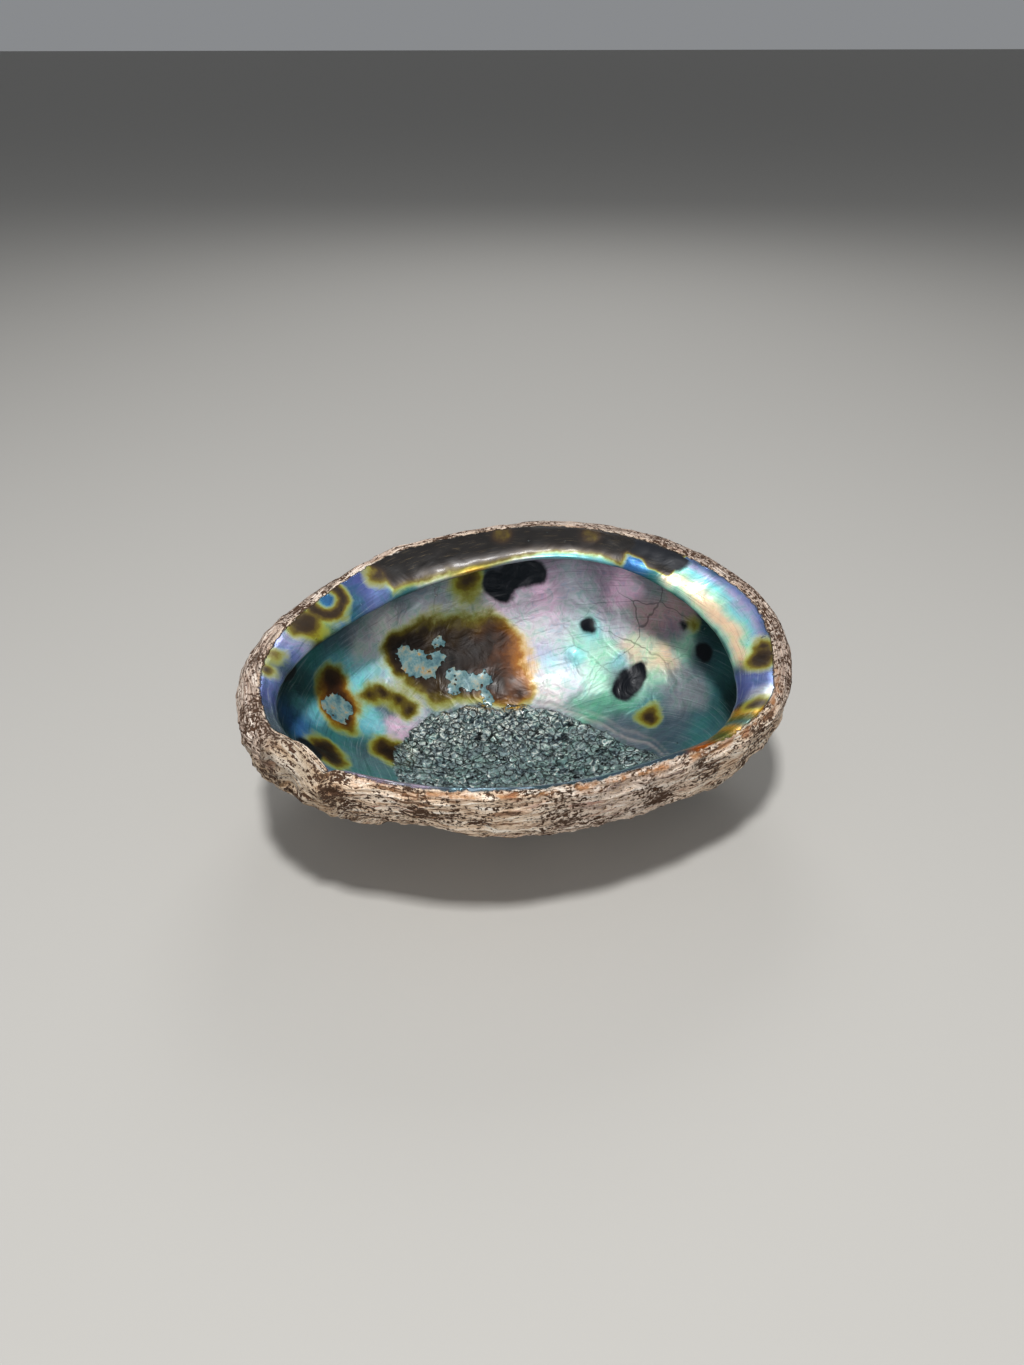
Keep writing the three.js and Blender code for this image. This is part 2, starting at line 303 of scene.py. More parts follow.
bearing, surface = base_surface()
flat_points = surface.reshape(-1, 3)
middle = (flat_points.max(axis=0) + flat_points.min(axis=0)) / 2
surface = surface - (middle[0], middle[1], 0)
normal = surface_normals(surface)
place = surface.copy()

# Distances in mm: arc from the base along a column, across from the crest of the lip inwards.
steps = np.linalg.norm(np.diff(surface, axis=1), axis=-1)
arc = np.concatenate([np.zeros((COLUMNS, 1)), np.cumsum(steps, axis=1)], axis=1)
arc += np.linalg.norm(surface[:, 0, :2] - (BASE - middle[:2]), axis=-1)[:, None]
floor_gap = np.linalg.norm(surface[:, -1, :2] - (BASE - middle[:2]), axis=-1)
whole_arc = arc[:, -1:] + floor_gap[:, None]
across = arc - arc[:, CREST_ROW:CREST_ROW + 1]
shelf_share = across / across[:, EDGE_ROW:EDGE_ROW + 1]  # 0 at the crest, 1 at the shelf's edge
rows = np.arange(surface.shape[1])[None, :] + 0 * across
outer = smooth(0.6, -0.6, across)
inner = 1 - outer
x, y, z = surface[..., 0], surface[..., 1], surface[..., 2]
turn = (np.degrees(bearing)[:, None] + 0 * across + 360) % 360
SPIRE_TOP = np.array((SPIRE[0] - middle[0], SPIRE[1] - middle[1], 4.0))

# Growth lines run level with the lip near the lip and round the spire near the spire.
GROWTH_SPAN, SPIRE_SOFTNESS, GROWTH_WANDER = 140, 20, 1.6
from_spire = np.linalg.norm(surface - SPIRE_TOP, axis=-1)
growth = -across * GROWTH_SPAN / (np.maximum(0, -across) + from_spire + SPIRE_SOFTNESS)
growth = growth + GROWTH_WANDER * layered_noise(surface / 22, 3, seed=5)
grain = np.stack([x / 10, y / 10, growth / 1.25 + z / 12], axis=-1)


def near(centre, radius, softness=0.5):
    """A round weight on the surface: 1 in its middle, 0 beyond its radius."""
    away = np.linalg.norm(place - np.array(centre), axis=-1)
    return smooth(radius, radius * (1 - softness), away)


def blobs(balls, points, melt=1.8):
    """How deep a point is inside balls that melt together, in mm: each is x, y, z, radius."""
    total = 1e-9
    for ball in balls:
        away = np.linalg.norm(points - np.array(ball[:3]), axis=-1)
        total = total + np.exp(np.clip((ball[3] - away) / melt, -20, 20))
    return melt * np.log(total)


def between(first, last, softness=6.0):
    """1 for bearings from first up to last, in degrees, fading at both ends."""
    span = (last - first) % 360
    offset = (turn - first) % 360
    offset = np.where(offset > 180 + span / 2, offset - 360, offset)
    return smooth(-softness, softness, offset) * smooth(span + softness, span - softness, offset)


def from_ends(first, last):
    """How far inside two bearings a point is, roughly in mm along the rim."""
    return np.minimum(turn - first, last - turn) * 1.25


# ---- relief ----------------------------------------------------------------------------------

# Noises are divided by the size of their features, and multiplied by their height, both in mm.
streaks = layered_noise(grain * (1, 1, 0.5), 3, seed=11)
fine_streaks = layered_noise(grain * (1.6, 1.6, 1.0), 2, seed=21)
lumps = layered_noise(surface / 6.5, 3, seed=31)
big_lumps = layered_noise(surface / 17, 2, seed=41)
pit_near, _, pit_name = cells(surface * (0.17, 0.17, 0.24), seed=51)
pits = smooth(0.34, 0.10, pit_near) * (pit_name > 0.45)

band_zone = smooth(-15, -9, across) * outer * between(330, 200)
head_bulge = between(186, 214, 7) * outer * smooth(-45, -20, across)
layers = np.sin(across * 2.6 + 2.2 * layered_noise(surface / 9, 2, seed=61))

relief = 0.55 * streaks + 0.38 * fine_streaks + 0.50 * lumps + 0.45 * big_lumps - 0.9 * pits
relief = relief * (1 - 0.45 * band_zone) + band_zone * 0.22 * layers
relief = relief + head_bulge * (0.7 + 0.55 * layered_noise(surface / 3.2, 2, seed=71))
relief = relief * smooth(1.2, -3.0, across)

# The spiral seam of the low spire, winding in to its tip.
SPIRE_TIP, SPIRE_TIGHTNESS = 3.0, 1.05
spire_x, spire_y = x - SPIRE_TOP[0], y - SPIRE_TOP[1]
spire_distance = np.hypot(spire_x, spire_y) + 0.01
spiral = np.arctan2(spire_y, spire_x) / TAU - np.log(spire_distance / SPIRE_TIP) / SPIRE_TIGHTNESS
seam = np.abs(spiral - np.round(spiral))
spire_zone = smooth(30, 16, spire_distance) * outer * smooth(0, -10, across)
relief = relief - 1.6 * spire_zone * smooth(0.16, 0.0, seam)

# Breathing holes: open ones with a raised rim, closed ones as low bumps in the same row.
HOLE_STEP = 0.03
hole_frames = []
for angle in OPEN_HOLES + CLOSED_HOLES:
    spot = outside_point(np.array([angle]), np.array([ridge_depth(angle)]))[0]
    ahead = outside_point(np.array([angle + HOLE_STEP]), np.array([ridge_depth(angle + HOLE_STEP)]))[0]
    lower = outside_point(np.array([angle]), np.array([ridge_depth(angle) + HOLE_STEP]))[0]
    row_way = (ahead - spot) / np.linalg.norm(ahead - spot)
    out_way = np.cross(lower - spot, row_way)
    out_way /= np.linalg.norm(out_way)
    spot = spot - (middle[0], middle[1], 0)
    hole_frames.append((spot, row_way, np.cross(out_way, row_way), out_way))


def oval_distance(hole):
    """Distance from a hole's middle in the plane of the hole, 1 on its oval edge."""
    spot, row_way, side_way, out_way = hole
    away = surface - spot
    length = away @ row_way / (HOLE_LENGTH / 2)
    width = away @ side_way / (HOLE_WIDTH / 2)
    depth = away @ out_way / HOLE_RIM_DEPTH
    return np.sqrt(length ** 2 + width ** 2 + depth ** 2)


hole_rim = 0.0
for hole in hole_frames[:len(OPEN_HOLES)]:
    oval = oval_distance(hole)
    hole_rim = hole_rim + 1.3 * outer * bell((oval - 1.25) / 0.5)
for hole in hole_frames[len(OPEN_HOLES):]:
    oval = oval_distance(hole)
    hole_rim = hole_rim + outer * (1.3 * smooth(1.5, 0.5, oval) - 0.7 * bell(oval / 0.45))
relief = relief + hole_rim

# Inside: the muscle scar, its double edge, a blister, a pearl and the plates on the stains.
SCAR_MIDDLE, SCAR_LONG, SCAR_SHORT, SCAR_LEAN = (3, -5), 55, 42, math.radians(50)
scar_x, scar_y = x - SCAR_MIDDLE[0], y - SCAR_MIDDLE[1]
scar_long = (math.cos(SCAR_LEAN) * scar_x - math.sin(SCAR_LEAN) * scar_y) / SCAR_LONG
scar_short = (math.sin(SCAR_LEAN) * scar_x + math.cos(SCAR_LEAN) * scar_y) / SCAR_SHORT
scar_shape = np.hypot(scar_long, scar_short)
scar_shape = scar_shape + 0.05 * layered_noise(surface / 12, 2, seed=81) + smooth(12, 24, z)
scar = inner * smooth(1.03, 0.95, scar_shape)
scale_near, scale_next, scale_name = cells(surface / 2.6, seed=91)
scar_relief = 0.42 * (scale_name - 0.5) - 0.55 * smooth(0.25, 0.0, scale_next - scale_near)
scar_relief = scar_relief + 0.5 * layered_noise(surface / 8, 2, seed=95)
edge_ridge = inner * smooth(14, 26, x) * smooth(50, 30, z)
first_line, second_line = bell((scar_shape - 1.05) / 0.016), bell((scar_shape - 1.12) / 0.015)
edge_ridge = edge_ridge * (first_line + 0.5 * second_line)

BLISTER, PEARL = (55, 33, 21), (39, 49, 25)
# Balls that the thin plates are cut from: x, y, z, radius.
FLAKE_BALLS = [
    (-25, 60, 26, 5.1), (-29, 62, 30, 2.7), (-20, 59, 23, 3.3), (-16, 61, 26, 2.5),
    (-3, 53, 17, 3.1), (-7, 55, 19, 2.4), (2, 53, 18, 2.4), (-11, 52, 16, 2.2),
    (-11, 57, 20, 1.6), (1, 48, 14, 1.6), (2, 45, 12, 1.5), (-14, 64, 32, 1.7),
    (-60, 41, 25, 3.9), (-63, 39, 26, 2.4), (-57, 41, 22, 2.4), (-60, 37, 22, 2.4),
]
ragged = np.stack([value_noise(surface / 2.4, 101), value_noise(surface / 2.4, 102), 0 * x], axis=-1)
flake = blobs(FLAKE_BALLS, place + 0.8 * ragged, 0.6)
flake = np.where(across > 0, np.minimum(flake, -blobs([(-19, 62, 27, 1.8)], place)), -20)

inside_relief = 0.30 * layered_noise(surface / 21, 2, seed=111) * smooth(1.0, 1.6, shelf_share)
inside_relief = inside_relief + scar * scar_relief + 0.4 * edge_ridge
inside_relief = inside_relief + 0.7 * near(BLISTER, 8.5, 0.8) + 0.3 * near((58, 29, 21), 5, 0.6)
inside_relief = inside_relief + 1.0 * near(PEARL, 3.4, 0.9) + 0.6 * near((47, 51, 36), 3.6, 0.8)
inside_relief = inside_relief + 0.25 * smooth(-0.4, 0.4, flake)
inside_relief = inside_relief + 0.14 * value_noise(surface / 4.0, 121) * smooth(0.5, 1.5, across)
inside_relief = inside_relief * inner

surface = surface + normal * (relief + inside_relief)[..., None]
surface[..., 2] = np.where(across < 0, np.maximum(0, surface[..., 2]), surface[..., 2])

# ---- colour fields ---------------------------------------------------------------------------

PALETTE = {
    "violet": (80, 92, 140), "periwinkle": (106, 124, 166), "lavender": (158, 158, 184),
    "blue": (56, 104, 150), "teal": (58, 112, 112), "deep_teal": (22, 60, 60),
    "cyan": (124, 196, 200), "sea_green": (84, 146, 120), "mint": (164, 210, 184),
    "silver": (170, 178, 182), "pearl": (184, 183, 177), "pink": (216, 184, 202),
    "mauve": (126, 116, 128), "rose": (158, 136, 134), "cream": (232, 204, 168),
    "grey": (120, 128, 130), "slate": (66, 84, 92), "olive": (92, 96, 26),
    "gold": (196, 150, 40), "amber": (150, 84, 16), "umber": (50, 34, 20),
    "ink": (10, 14, 22), "char": (34, 29, 24),
}


def linear(colour):
    """A palette name or red, green and blue from 0 to 255, as linear shares."""
    share = np.array(PALETTE[colour] if isinstance(colour, str) else colour) / 255
    return np.where(share <= 0.04045, share / 12.92, ((share + 0.055) / 1.055) ** 2.4)


def paint(colour):
    """The same as red, green, blue and alpha, for a shader socket."""
    return (*linear(colour).tolist(), 1.0)


def blended(anchors, points):
    """Colours melting into one another between spots: x, y, z, reach, colour."""
    total = np.zeros(points.shape)
    weights = np.full(points.shape[:-1], 1e-9)
    for ax, ay, az, reach, name in anchors:
        away = np.linalg.norm(points - (ax, ay, az), axis=-1) / reach
        weight = np.exp(-away * away) + 1e-4 / (1 + away ** 4)
        weights += weight
        total += weight[..., None] * linear(name)
    return total / weights[..., None]


# Places where one colour is strongest: x, y, z, reach, colour. Most are the nacre's own colours; the
# silver, mauve and pink spots from x 42 to 58 high on the far wall are a painted reflection.
BOWL_COLOURS = [
    # far wall, from the head end to the tail end
    (-62, 46, 44, 9, "teal"), (-52, 56, 46, 8, "slate"), (-40, 61, 52, 8, "grey"),
    (-28, 64, 56, 8, "slate"), (-14, 67, 56, 7, "grey"), (-2, 67, 56, 6, "olive"),
    (6, 68, 52, 6, "slate"), (-22, 67, 44, 6, "silver"), (-4, 67, 44, 7, "grey"),
    (14, 65, 44, 6, "pink"), (30, 60, 46, 7, "pink"), (34, 58, 58, 8, "mauve"),
    # Painted reflection: the silver, mauve and pink spots on the next line stand for a pale oval of
    # light mirrored in the far wall.
    (42, 57, 52, 7, "silver"), (50, 52, 58, 7, "mauve"), (58, 48, 54, 6, "pink"),
    (66, 41, 54, 6, "grey"), (66, 38, 45, 7, "rose"), (74, 30, 50, 6, "rose"),
    (74, 28, 42, 6, "mauve"), (77, 22, 38, 5, "mint"), (80, 14, 36, 6, "slate"),
    (73, 12, 60, 9, "deep_teal"), (80, 12, 48, 8, "deep_teal"), (82, 2, 38, 9, "teal"),
    (79, -10, 34, 9, "deep_teal"), (72, -22, 30, 9, "slate"),
    # lit floor under the far wall, from the head end to the tail end
    (-72, 24, 32, 6, "blue"), (-70, 32, 30, 5, "cyan"), (-68, 34, 38, 7, "deep_teal"),
    (-76, 12, 36, 7, "deep_teal"), (-66, 24, 24, 6, "teal"), (-54, 32, 17, 7, "teal"),
    (-52, 50, 36, 6, "cyan"), (-46, 58, 38, 5, "pearl"), (-40, 60, 36, 6, "silver"),
    (-44, 54, 28, 6, "cyan"), (-38, 52, 24, 5, "silver"), (-34, 64, 42, 6, "pearl"),
    (-40, 46, 18, 5, "slate"), (-37, 37, 13, 5, "pink"), (-31, 42, 14, 5, "silver"),
    (-48, 38, 16, 5, "cyan"), (-52, 26, 15, 5, "slate"), (-22, 66, 42, 6, "pearl"),
    (-6, 67, 42, 7, "silver"), (6, 66, 41, 7, "pearl"), (18, 63, 40, 7, "silver"),
    (24, 60, 32, 7, "pearl"), (30, 57, 36, 7, "silver"), (24, 55, 24, 6, "lavender"),
    (32, 50, 22, 6, "silver"), (28, 44, 15, 6, "pearl"), (40, 54, 36, 6, "silver"),
    (43, 51, 31, 5, "mint"), (47, 49, 33, 4, "cyan"), (39, 49, 25, 4, "cyan"),
    (30, 51, 22, 3, "cyan"), (50, 45, 29, 5, "mint"), (58, 43, 37, 6, "silver"),
    (38, 40, 17, 6, "silver"), (46, 38, 19, 5, "mint"), (60, 36, 30, 5, "cream"),
    (64, 34, 30, 5, "mint"), (66, 28, 30, 5, "cream"), (55, 33, 22, 6, "grey"),
    (54, 36, 24, 4, "cyan"), (63, 24, 24, 5, "mint"), (52, 26, 16, 6, "sea_green"),
    (42, 28, 12, 6, "sea_green"), (48, 18, 13, 6, "slate"), (60, 16, 17, 6, "teal"),
    (68, 18, 24, 6, "grey"), (72, 10, 25, 7, "grey"), (64, 6, 18, 7, "slate"),
    (58, -4, 15, 8, "slate"), (66, -12, 24, 9, "teal"),
    # scar and the wall under the outer lip
    (0, 10, 5, 30, "grey"), (-20, 20, 8, 14, "teal"), (20, -20, 8, 25, "slate"),
    (-40, -10, 14, 18, "teal"), (0, -45, 30, 20, "slate"), (45, -40, 32, 15, "teal"),
    (-40, -40, 30, 18, "lavender"), (-66, -26, 38, 12, "slate"), (-74, -8, 38, 10, "violet"),
]

# The same for the shelf, by x and y only.
SHELF_COLOURS = [
    (-83, -16, 0, 9, "slate"), (-84, -2, 0, 9, "violet"), (-83, 8, 0, 6, "periwinkle"),
    (-82, 20, 0, 5, "slate"), (-78, 27, 0, 5, "periwinkle"), (-74, 33, 0, 4, "lavender"),
    (-73, 38, 0, 3, "teal"), (-67, 41, 0, 5, "olive"), (-66, 47, 0, 5, "cyan"),
    (-59, 51, 0, 5, "blue"), (-62, 54, 0, 3, "teal"), (-52, 53, 0, 4, "teal"),
    (-50, 57, 0, 5, "violet"), (-43, 59, 0, 5, "violet"), (-40, 55, 0, 4, "periwinkle"),
    (-30, 57, 0, 5, "teal"), (-15, 57, 0, 7, "silver"), (0, 57, 0, 7, "gold"),
    (15, 55, 0, 7, "silver"), (30, 50, 0, 7, "cyan"), (44, 44, 0, 6, "cyan"),
    (56, 34, 0, 5, "blue"), (64, 24, 0, 5, "teal"), (70, 12, 0, 6, "deep_teal"),
    (84, -18, 0, 4, "slate"), (81, -19, 0, 3, "gold"), (79, -25, 0, 4, "umber"),
    (78, -32, 0, 6, "periwinkle"), (73, -33, 0, 5, "violet"), (72, -42, 0, 3, "silver"),
    (69, -45, 0, 3, "char"), (65, -49, 0, 3, "gold"), (62, -51, 0, 3, "olive"),
    (58, -55, 0, 3, "teal"), (55, -57, 0, 3, "gold"), (48, -61, 0, 4, "olive"),
    (40, -63, 0, 5, "amber"), (25, -66, 0, 7, "slate"), (0, -68, 0, 12, "slate"),
    (-30, -65, 0, 12, "slate"), (-55, -58, 0, 9, "mauve"), (-74, -43, 0, 6, "lavender"),
]

drift = np.stack([layered_noise(surface / 9, 3, seed) for seed in (131, 141, 151)], axis=-1)
bowl_tint = blended(BOWL_COLOURS, place + 2.6 * drift)
level = place * (1, 1, 0)
shelf_tint = blended(SHELF_COLOURS, level + 1.5 * drift * (1, 1, 0))

# The rainbow of the tail end: bands that follow the lip, from the crest in to the bowl.
RAINBOW = ["slate", "periwinkle", "lavender", "cyan", "mint", "cream", "cream", "mint", "teal"]
fan = np.clip(shelf_share + 0.07 * layered_noise(grain * (2.2, 2.2, 0), 2, seed=161), 0, 1)
band_place = fan * (len(RAINBOW) - 1)
lower_index = np.minimum(band_place.astype(int), len(RAINBOW) - 2)
upper_share = (band_place - lower_index)[..., None]
bands = np.array([linear(name) for name in RAINBOW])
rainbow = bands[lower_index] * (1 - upper_share) + bands[lower_index + 1] * upper_share
fan_zone = between(345, 20, 3)
shelf_tint = shelf_tint * (1 - fan_zone[..., None]) + rainbow * fan_zone[..., None]

in_bowl = smooth(0.88, 1.2, shelf_share)[..., None]
tint = shelf_tint * (1 - in_bowl) + bowl_tint * in_bowl

# Stains and black patches are balls that melt together: x, y, z, radius.
STAIN_BALLS = [
    (-28, 61, 31, 8), (-21, 63, 34, 7), (-12, 64, 34, 7), (-3, 63, 32, 8), (5, 62, 31, 7),
    (11, 60, 29, 6.5), (-22, 57, 24, 8), (-10, 60, 26, 10), (1, 60, 28, 10), (9, 56, 22, 8),
    (-6, 54, 19, 8), (6, 51, 17, 8), (14, 51, 18, 6), (-17, 51, 19, 6), (15, 46, 14, 4.5),
    (-60, 42, 25, 7.5), (-60, 48, 31, 4.5), (-58, 37, 21, 5),
    (-69, 16, 24, 5.5), (-66, 12, 22, 4.5), (-45, 25, 12, 5), (-42, 21, 11, 4),
    (-46, 48, 22, 2.2), (-41, 51, 21, 2.4), (-36, 49, 18, 2.4), (-32, 45, 15, 2.4),
    (58, 12, 16, 3.6), (77, 22, 47, 2.6), (0, 67, 57, 4),
]
stain = blobs(STAIN_BALLS, place + 1.6 * drift)
warmth = near((14, 54, 22), 24, 0.7) + 0.5 * near((-60, 42, 25), 14, 0.5)
broad_fringe = np.maximum(near((-6, 66, 42), 27, 0.6), near((18, 55, 24), 17, 0.6))
stain = stain * (1 - 0.5 * broad_fringe)
stain = np.where(in_bowl[..., 0] > 0.4, stain, -20)

# The shelf's dark zone runs along its outer part, from the head end's shoulder to the tail end.
inwards = (0.74 - shelf_share) * 26 + 1.6 * drift[..., 0]
shelf_stain = np.minimum(inwards, 1.6 * from_ends(36, 119) + 2.0 * drift[..., 1]) + 2.5
brown_patches = blobs([(13, 63, 76, 4.2), (45, 50, 77, 4.2)], place)
olive_patch = blobs([(67, 35, 77, 6)], place)
shelf_stain = np.minimum(shelf_stain, np.maximum(3.0 - 2 * brown_patches, 1.2))
shelf_stain = np.minimum(shelf_stain, np.maximum(2.0 - olive_patch, -0.2))
tail_dark = np.minimum((0.62 - shelf_share) * 50, 4 * from_ends(20, 42)) + 6 * drift[..., 2]
SHELF_STAIN_BALLS = [
    (-69, 40, 61, 4.6), (-66, 43, 62, 2.6), (-38, 60, 67, 3.6), (-84, 14, 60, 1.8),
    (-81, 24, 59, 2.4), (80, -25, 58, 4.0), (83, -20, 60, 2.4), (68, -46, 54, 2.6),
]
ring = np.hypot(x + 59, y - 51) + 0.8 * drift[..., 1]
ring_stain = 3.2 - 1.7 * np.abs(ring - 6.2)
shelf_spots = np.maximum(blobs(SHELF_STAIN_BALLS, place + 1.4 * drift), ring_stain)
shelf_stain = np.maximum(np.maximum(shelf_stain, tail_dark), shelf_spots)
stain = np.where(shelf_share < 1.06, np.maximum(stain, shelf_stain), stain)
stain = np.where(across > -1, stain, -20)

DARK_BALLS = [
    (19, 66, 56, 6), (11, 66, 55, 4.5), (26, 63, 57, 5), (13, 66, 49, 4), (22, 65, 61, 4.5),
    (47, 51, 36, 2.8), (56, 29, 20, 4.0), (60, 28, 22, 3.6), (61, 31, 25, 2.6), (53, 29, 19, 3.0),
    (-76, 38, 44, 3.6), (-66, 36, 54, 3.0), (76, 26, 45, 2.4), (80, 14, 38, 4),
    (-75, 16, 28, 3.6), (-72, 10, 27, 3.2), (43, 34, 12, 1.3), (30, 26, 9, 1.5), (-7, 30, 7, 1.5),
]
dark = blobs(DARK_BALLS, place + 1.6 * drift)
tail_ink = np.minimum((0.5 - shelf_share) * 13, from_ends(18, 34) + 1.5 * drift[..., 2])
dark = np.where(across > 0, np.maximum(dark, tail_ink), -20)
cracks = inner * (near((70, 36, 46), 26, 0.6) + 0.5 * near((45, 45, 30), 26, 0.6))
cracks = cracks + 0.5 * inner * near((-5, 66, 48), 40, 0.6)

# The thin near lip: its nacre comes up over the crest, and a red-brown line runs under it.
near_lip = between(216, 334, 6)
lip_red = bell((across + 3.0 * near_lip) / (1.3 + 0.7 * drift[..., 1])) * between(213, 338, 8)
hook = between(196, 208, 2) * smooth(9, 2, across)
bleached = outer * (between(262, 300, 14) + 0.6 * band_zone)

# ---- the mesh --------------------------------------------------------------------------------


def mesh_from_grid(name, points, poles):
    """A closed mesh: quads over the grid, and a fan of triangles to each pole."""
    columns, row_count = points.shape[:2]
    vertices = np.concatenate([points.reshape(-1, 3), np.array(poles)]) * MM
    column, row = np.meshgrid(np.arange(columns), np.arange(row_count - 1), indexing="ij")
    here = column * row_count + row
    there = (column + 1) % columns * row_count + row
    faces = np.stack([here, there, there + 1, here + 1], axis=-1).reshape(-1, 4).tolist()
    start = (np.arange(columns) * row_count).tolist()
    following = start[1:] + start[:1]
    base, floor = columns * row_count, columns * row_count + 1
    faces += [(base, b, a) for a, b in zip(start, following)]
    faces += [(floor, a + row_count - 1, b + row_count - 1) for a, b in zip(start, following)]
    mesh = bpy.data.meshes.new(name)
    mesh.from_pydata(vertices.tolist(), [], faces)
    mesh.update()
    return mesh


def hole_cutter(hole, number):
    """An oval peg along a hole's own axis, with a slightly wavy edge."""
    spot, row_way, side_way, out_way = hole
    vertices, faces = [], []
    for end in (-HOLE_REACH_IN, HOLE_REACH_OUT):
        for side in range(HOLE_SIDES):
            angle = TAU * side / HOLE_SIDES
            wave = 1 + 0.05 * math.sin(3 * angle + number) + 0.03 * math.sin(7 * angle + 2 * number)
            radius = HOLE_LENGTH / 2 * wave
            squeezed = HOLE_WIDTH / HOLE_LENGTH * radius
            vertex = (spot + row_way * radius * math.cos(angle)
                      + side_way * squeezed * math.sin(angle) + out_way * end)
            vertices.append(tuple(vertex * MM))
    faces.append(list(range(HOLE_SIDES))[::-1])
    faces.append(list(range(HOLE_SIDES, 2 * HOLE_SIDES)))
    for side in range(HOLE_SIDES):
        following = (side + 1) % HOLE_SIDES
        faces.append((side, following, following + HOLE_SIDES, side + HOLE_SIDES))
    mesh = bpy.data.meshes.new("cutter")
    mesh.from_pydata(vertices, [], faces)
    cutter = bpy.data.objects.new("cutter", mesh)
    bpy.context.scene.collection.objects.link(cutter)
    return cutter


poles = [(BASE[0] - middle[0], BASE[1] - middle[1], 0),
         (BASE[0] - middle[0], BASE[1] - middle[1], surface[:, -1, 2].mean())]
shell = bpy.data.objects.new("abalone_shell", mesh_from_grid("abalone_shell", surface, poles))
bpy.context.scene.collection.objects.link(shell)
for number, hole in enumerate(hole_frames[:len(OPEN_HOLES)]):
    cutter = hole_cutter(hole, number)
    cut = shell.modifiers.new("hole", "BOOLEAN")
    cut.operation = "DIFFERENCE"
    cut.solver = "EXACT"
    cut.object = cutter
    evaluated = shell.evaluated_get(bpy.context.evaluated_depsgraph_get())
    holed = bpy.data.meshes.new_from_object(evaluated)
    shell.modifiers.clear()
    shell.data = holed
    bpy.data.objects.remove(cutter)
shell.data.name = "abalone_shell"
mesh = shell.data
mesh.polygons.foreach_set("use_smooth", np.ones(len(mesh.polygons), bool))

# Each vertex takes its fields from the nearest point of the grid.
final = np.empty(len(mesh.vertices) * 3)
mesh.vertices.foreach_get("co", final)
final = final.reshape(-1, 3) / MM
tree = KDTree(surface.shape[0] * surface.shape[1])
for index, point in enumerate(surface.reshape(-1, 3)):
    tree.insert(point, index)
tree.balance()
source = np.array([tree.find(point)[1] for point in final])


def point_field(name, field, kind="FLOAT"):
    """Store a field of the grid on the vertices, under a name that the material reads."""
    attribute = mesh.attributes.new(name, kind, "POINT")
    if kind == "FLOAT":
        attribute.data.foreach_set("value", field.reshape(-1)[source].astype(np.float32))
    elif kind == "FLOAT_VECTOR":
        attribute.data.foreach_set("vector", field.reshape(-1, 3)[source].astype(np.float32).ravel())
    else:
        colours = np.concatenate([field.reshape(-1, 3), np.ones((field.size // 3, 1))], axis=1)
        attribute.data.foreach_set("color", colours[source].astype(np.float32).ravel())


FIELDS = {
    "across": across, "stain": stain, "dark": dark, "flake": flake, "scar": scar, "cracks": cracks,
    "lip_red": lip_red, "layered": band_zone, "bleached": bleached, "ridges": edge_ridge,
    "bulge": head_bulge, "hook": hook, "warmth": warmth, "in_bowl": in_bowl, "near_lip": near_lip,
}
for name, field in FIELDS.items():
    point_field(name, field)
point_field("grain", grain, "FLOAT_VECTOR")
point_field("tint", tint, "FLOAT_COLOR")

# Two round charts, the outside and the inside, each laid out from its own pole.
CHART_RADIUS, CHART_MARGIN = 0.285, 0.01
MOSTLY_OUTSIDE = 0.26
crest_arc = arc[:, CREST_ROW:CREST_ROW + 1]
outside_radius = (arc / crest_arc).reshape(-1)[source]
inside_radius = ((whole_arc - arc) / (whole_arc - crest_arc)).reshape(-1)[source]
around = (bearing[:, None] + 0 * arc).reshape(-1)[source]
loops = np.empty(len(mesh.loops), dtype=np.int32)
mesh.loops.foreach_get("vertex_index", loops)
sizes = np.array([len(polygon.vertices) for polygon in mesh.polygons])
owner = np.repeat(np.arange(len(sizes)), sizes)
inner_loop = (rows.reshape(-1)[source] > CREST_ROW).astype(float)[loops]
share_inside = np.bincount(owner, inner_loop) / sizes
outside_loop = (share_inside < MOSTLY_OUTSIDE)[owner]
radius = np.where(outside_loop, outside_radius[loops], inside_radius[loops])
radius = np.minimum(radius, 1.0) * CHART_RADIUS
angle = around[loops]
uv = np.stack([np.cos(angle), np.sin(angle)], axis=-1) * radius[:, None]
chart_middle = CHART_RADIUS + CHART_MARGIN
uv = uv + np.where(outside_loop, chart_middle, 1 - chart_middle)[:, None]
chart = mesh.uv_layers.new(name="OFBake")
chart.data.foreach_set("uv", uv.astype(np.float32).ravel())

# ---- material --------------------------------------------------------------------------------


